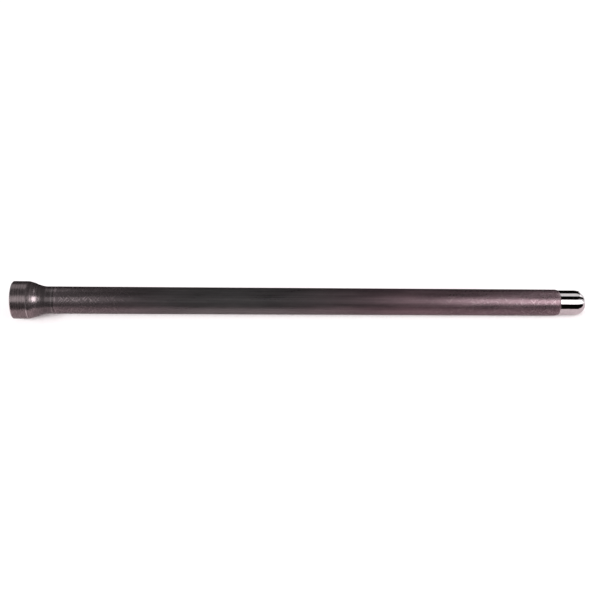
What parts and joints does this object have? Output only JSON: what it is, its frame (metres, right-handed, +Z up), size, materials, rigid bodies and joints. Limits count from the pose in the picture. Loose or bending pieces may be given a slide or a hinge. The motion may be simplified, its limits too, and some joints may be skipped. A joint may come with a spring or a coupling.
{
  "type": "engine pushrod",
  "caption": "Straight tubular engine pushrod with a flared cup at one end for a rocker screw's ball and a ground ball at the other for a tappet's socket.",
  "frame": {"origin": "on the floor under the middle of the rod's length, where the rod lies at rest", "axes": "+X along the floor from the cup towards the ball, +Z up; the rod's own axis falls by 0.54 degrees towards +X, because the cup is wider than the tube"},
  "size_m": [0.2717, 0.0174, 0.0175],
  "materials": {
    "tube_steel": "drawn steel with a dark heat-treatment skin",
    "cup_steel": "turned steel with a dark heat-treatment skin, seat ground bright",
    "ball_steel": "hardened steel, ground and polished"
  },
  "bodies": {
    "root": {"tube": "tube_steel", "cup_end": "cup_steel", "ball_end": "ball_steel"}
  },
  "joints": []
}
